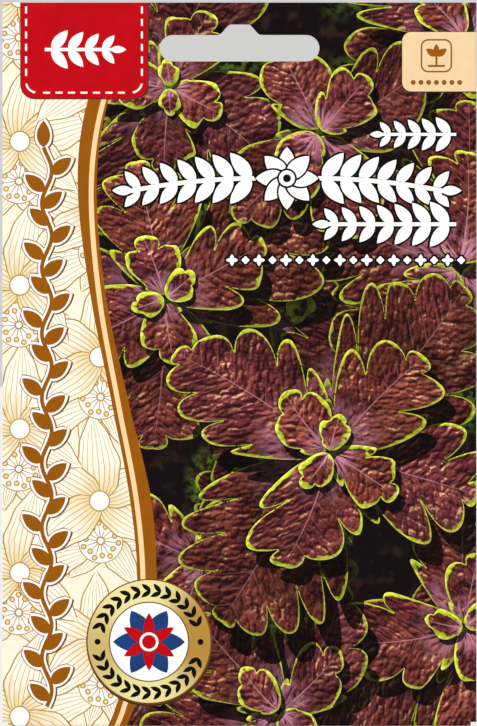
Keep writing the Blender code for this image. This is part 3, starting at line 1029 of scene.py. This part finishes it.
def lay_flat(points, lines, outlines, step=None):
    """The points and triangles of a flat layout, and the outlines over each triangle."""
    points = list(points)
    lines = list(lines)
    rules = [((FRONT_RIGHT, PANEL_BOTTOM), (FRONT_RIGHT, PACKET_HEIGHT), PIECES_UP),
             ((-FLAP_HALF, FRONT_FOOT), (FLAP_HALF, FRONT_FOOT), PIECES_ACROSS)]
    for k in range(FOLD_STEPS + 1):
        share = k / FOLD_STEPS
        for at in (LEFT_FOLD - LEFT_ARC * share, RIGHT_FOLD + RIGHT_ARC * share):
            rules.append(((at, PANEL_BOTTOM), (at, PACKET_HEIGHT), PIECES_UP))
        at = PANEL_BOTTOM - BOTTOM_ARC * share
        rules.append(((-FLAP_HALF, at), (FLAP_HALF, at), PIECES_ACROSS))
        at = STEP_START + STEP_WIDTH * share
        rules.append(((at, FLAP_FOOT), (at, PANEL_BOTTOM), PIECES_ON_FLAP))
    for start, end, pieces in rules:
        lines += [(len(points) + k, len(points) + k + 1) for k in range(pieces)]
        points += [Vector(start).lerp(Vector(end), k / pieces) for k in range(pieces + 1)]
    rings = []
    for outline in outlines:
        rings.append(list(range(len(points), len(points) + len(outline))))
        points += [Vector(point) for point in outline]
    if step:
        points += loose_grid(points, step)
    laid = delaunay_2d_cdt(points, lines, rings, 0, MERGE_WITHIN, True)
    return laid[0], laid[2], laid[5]


def loose_grid(points, front_step):
    """Points on staggered grids, wherever none of the given points is near."""
    drawn = flat_tree(points)
    loose = []
    for left, bottom, right, top, step in (
            (-32.0, 1.5, RIGHT_FOLD - 0.5, PACKET_HEIGHT - 0.5, front_step),
            (-46.5, 1.5, -32.0, PACKET_HEIGHT - 0.5, PLAIN_STEP),
            (BACK_EDGE + 1, 1.5, BACK_FOLD - 1, PACKET_HEIGHT - 1, PLAIN_STEP),
            (-FLAP_HALF + 1, FLAP_FOOT + 1, FLAP_HALF - 1, FRONT_FOOT, PLAIN_STEP),
            (SIDE_FOLD + 1, 2, FLAP_EDGE - 0.5, PACKET_HEIGHT - 1, PLAIN_STEP)):
        row_step = step * math.sin(math.radians(60))
        for row in range(int((top - bottom) / row_step)):
            v = bottom + row * row_step
            for column in range(int((right - left) / step)):
                u = left + step * (column + 0.5 * (row % 2))
                if drawn.find((u, v, 0.0))[2] > CLEAR_OF_LINES:
                    loose.append(Vector((u, v)))
    return loose


def middle_of(triangle, points):
    return sum((points[k] for k in triangle), Vector((0.0, 0.0))) / 3


def spills(cover, centre):
    """The shapes whose filling went wrong, because it reaches past their own outline."""
    for k in cover:
        left, bottom, right, top = frames[k]
        if not (left < centre.x < right and bottom < centre.y < top):
            yield k


def topmost(cover, centre):
    """The last shape that shows over a triangle, and whether a leaf's shadow is on it."""
    cover = set(cover) - spilt
    if SHEET not in cover or SLOTS & cover:
        return None
    front = BACK_FOLD < centre.x < FRONT_RIGHT and centre.y > FRONT_FOOT
    shows = {"all": True, "front": front, "band": front and BAND in cover,
             "back": centre.x < BACK_FOLD, "shadow": False}
    top = max(k for k in cover if shows[shapes[k]["zone"]])
    return top, any(k > top and shapes[k]["zone"] == "shadow" for k in cover)


# All the outlines are laid first, and then only the borders that show.
frames = []
for shape in shapes:
    across, up = zip(*shape["points"])
    frames.append((min(across), min(up), max(across), max(up)))
laid_points, laid_faces, covers = lay_flat([], [], [shape["points"] for shape in shapes])
centres = [middle_of(triangle, laid_points) for triangle in laid_faces]
spilt = {k for cover, centre in zip(covers, centres) for k in spills(cover, centre)}
tops = [topmost(cover, centre) for cover, centre in zip(covers, centres)]
beside = {}
for triangle, top in zip(laid_faces, tops):
    for a, b in zip(triangle, triangle[1:] + triangle[:1]):
        beside.setdefault((min(a, b), max(a, b)), []).append(top)
borders = [edge for edge, found in beside.items() if len(found) == 1 or len(set(found)) > 1]
kept = sorted({k for edge in borders for k in edge})
new_number = {k: number for number, k in enumerate(kept)}
kept_points = [laid_points[k] for k in kept]
kept_lines = [(new_number[a], new_number[b]) for a, b in borders]
flat_points, flat_faces = lay_flat(kept_points, kept_lines, [], PICTURE_STEP)[:2]
finder = bvhtree.BVHTree.FromPolygons([(*point, 0.0) for point in laid_points], laid_faces)


def skin_point(point, out):
    """The place of a flat point on the folded sheet, a distance out from its middle."""
    way = 1 if point.y > BELOW_PANEL else -1
    middle = folded(point.x, point.y)
    across = folded(point.x + NUDGE, point.y) - middle
    along = folded(point.x, point.y + way * NUDGE) - middle
    return middle + across.cross(along).normalized() * (way * out * MM)


@functools.lru_cache(maxsize=None)
def blade_corner(number, k):
    """What the leaf of a shape's number puts on a point of the flat sheet."""
    return shapes[number]["blade"].corner(flat_points[k])


sheet = bmesh.new()
blade_layer, light_layer, rim_layer = (
    sheet.loops.layers.float_vector.new(name) for name in ("blade", "light", "rim"))
ink_names = list(inks)
bare = ink_names.index("bare paper")
printed = [sheet.verts.new(skin_point(point, PAPER / 2)) for point in flat_points]
for triangle in flat_faces:
    found = tops[finder.find_nearest((*middle_of(triangle, flat_points), 0.0))[2]]
    if not found:
        continue
    top, shaded = found
    face = sheet.faces.new([printed[k] for k in triangle])
    face.material_index = ink_names.index(shapes[top]["ink"])
    face.smooth = True
    if shapes[top]["blade"]:
        for loop, k in zip(face.loops, triangle):
            loop[blade_layer], light, loop[rim_layer] = blade_corner(top, k)
            loop[light_layer] = (*light[:2], light[2] * (SHADOW_LIGHT if shaded else 1.0))

# The inner skin shares the cut edges' points, and a strip joins the two skins there.
cut_loops = [edge.link_loops[0] for edge in sheet.edges if edge.is_boundary]
flat_of = dict(zip(printed, flat_points))
cut_points = {loop.vert: flat_of[loop.vert] for loop in cut_loops}
bare_outlines = [shapes[k]["points"] for k in (SHEET, *sorted(SLOTS))]
inner_points, inner_faces, covers = lay_flat(cut_points.values(), [], bare_outlines, PLAIN_STEP)
inner = [sheet.verts.new(skin_point(point, -PAPER / 2)) for point in inner_points]
for triangle, cover in zip(inner_faces, covers):
    if cover == [0]:
        face = sheet.faces.new([inner[k] for k in reversed(triangle)])
        face.material_index = bare
        face.smooth = True
inner_tree = flat_tree(inner_points)
under = {vertex: inner[inner_tree.find((*point, 0.0))[1]] for vertex, point in cut_points.items()}
for loop in cut_loops:
    start, end = loop.vert, loop.link_loop_next.vert
    face = sheet.faces.new([end, start, under[start], under[end]])
    face.material_index = bare
    for edge in face.edges:
        edge.smooth = False
loose = [vertex for vertex in sheet.verts if not vertex.link_faces]
bmesh.ops.delete(sheet, geom=loose, context="VERTS")
mesh = bpy.data.meshes.new("envelope_sheet")
sheet.to_mesh(mesh)
sheet.free()
for made in inks.values():
    mesh.materials.append(made)
envelope = bpy.data.objects.new("envelope_sheet", mesh)
bpy.context.scene.collection.objects.link(envelope)
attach(envelope, "root")
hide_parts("envelope")


# Glue lines
# Dried white glue holds the side flap, the bottom flap and the header's two plies. It set
# in streaks where it was rolled on.
def dress(nodes, name, grain, spread, colours, rough, relief):
    """Gives carried-over solids one finish: its colour, gloss and relief follow its grain."""
    made, pen, place = start_material(name)
    tone = place.cloud(*grain)
    change, least = rough
    finish(made, tone.between(*spread).mix(*colours), tone * change + least, tone, *relief)
    for node in nodes:
        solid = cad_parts[node].data
        solid.materials.clear()
        solid.materials.append(made)


dress(("side_glue", "bottom_glue", "header_glue"), "dried glue", grain=(260.0, 4.0),
      spread=(0.3, 0.7), colours=((226, 218, 196), (244, 240, 226)),
      rough=(0.3, 0.2), relief=(0.3, 0.0001))

# Inner sachet
# A small sachet of white film lies between the panels. It was folded at its foot, filled,
# and heat-sealed at its sides and top, so its film is faintly crinkled.
dress(("inner_sachet",), "sachet film", grain=(180.0, 5.0),
      spread=(0.35, 0.65), colours=((214, 217, 220), (236, 238, 240)),
      rough=(0.2, 0.15), relief=(0.4, 0.0003))

# Seeds
# Ten small dark seeds lie loose in the sachet's fold. Their dry coats are dull and finely
# pitted.
seeds = [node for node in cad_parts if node.startswith("seed_")]
dress(seeds, "seed coat", grain=(9000.0, 3.0),
      spread=(0.35, 0.65), colours=((44, 28, 20), (104, 72, 48)),
      rough=(0.3, 0.35), relief=(0.5, 0.00004))

# Studio
# A plain pale floor lies below the hanging packet. Broad soft suns light its front from
# both sides and its back more weakly, and the rest is even light from all round.
FLOOR_GAP = 0.012
FLOOR_SIZE = 30.0
FLOOR_COLOUR = (0.8, 0.79, 0.77, 1.0)
FLOOR_ROUGHNESS = 0.9
SURROUND = (0.93, 0.93, 0.92, 1.0)
SURROUND_STRENGTH = 0.69
SUN_SPREAD = 24.0
# For each sun: its name, the side it shines from, and its strength.
SUNS = (
    ("key", (-0.6, -0.7, 0.55), 1.12), ("fill", (0.7, -0.6, 0.45), 0.56),
    ("back left", (-0.6, 0.7, 0.45), 0.78), ("back right", (0.7, 0.6, 0.5), 0.56),
)

bpy.ops.mesh.primitive_plane_add(size=FLOOR_SIZE, location=(0, 0, box_bottom - FLOOR_GAP))
floor = bpy.context.object
floor.name = "floor"
studio = bpy.data.materials.new("studio paper")
studio.use_nodes = True
studio_shader = studio.node_tree.nodes["Principled BSDF"]
studio_shader.inputs["Base Color"].default_value = FLOOR_COLOUR
studio_shader.inputs["Roughness"].default_value = FLOOR_ROUGHNESS
floor.data.materials.append(studio)

for name, origin, strength in SUNS:
    light = bpy.data.lights.new(name, "SUN")
    light.angle = math.radians(SUN_SPREAD)
    light.energy = strength
    lamp = bpy.data.objects.new(name, light)
    bpy.context.scene.collection.objects.link(lamp)
    lamp.rotation_euler = (-Vector(origin)).to_track_quat("-Z", "Y").to_euler()

world = bpy.data.worlds.new("studio")
world.use_nodes = True
surround = world.node_tree.nodes["Background"]
surround.inputs["Color"].default_value = SURROUND
surround.inputs["Strength"].default_value = SURROUND_STRENGTH
bpy.context.scene.world = world
bpy.context.scene.view_settings.view_transform = "Standard"
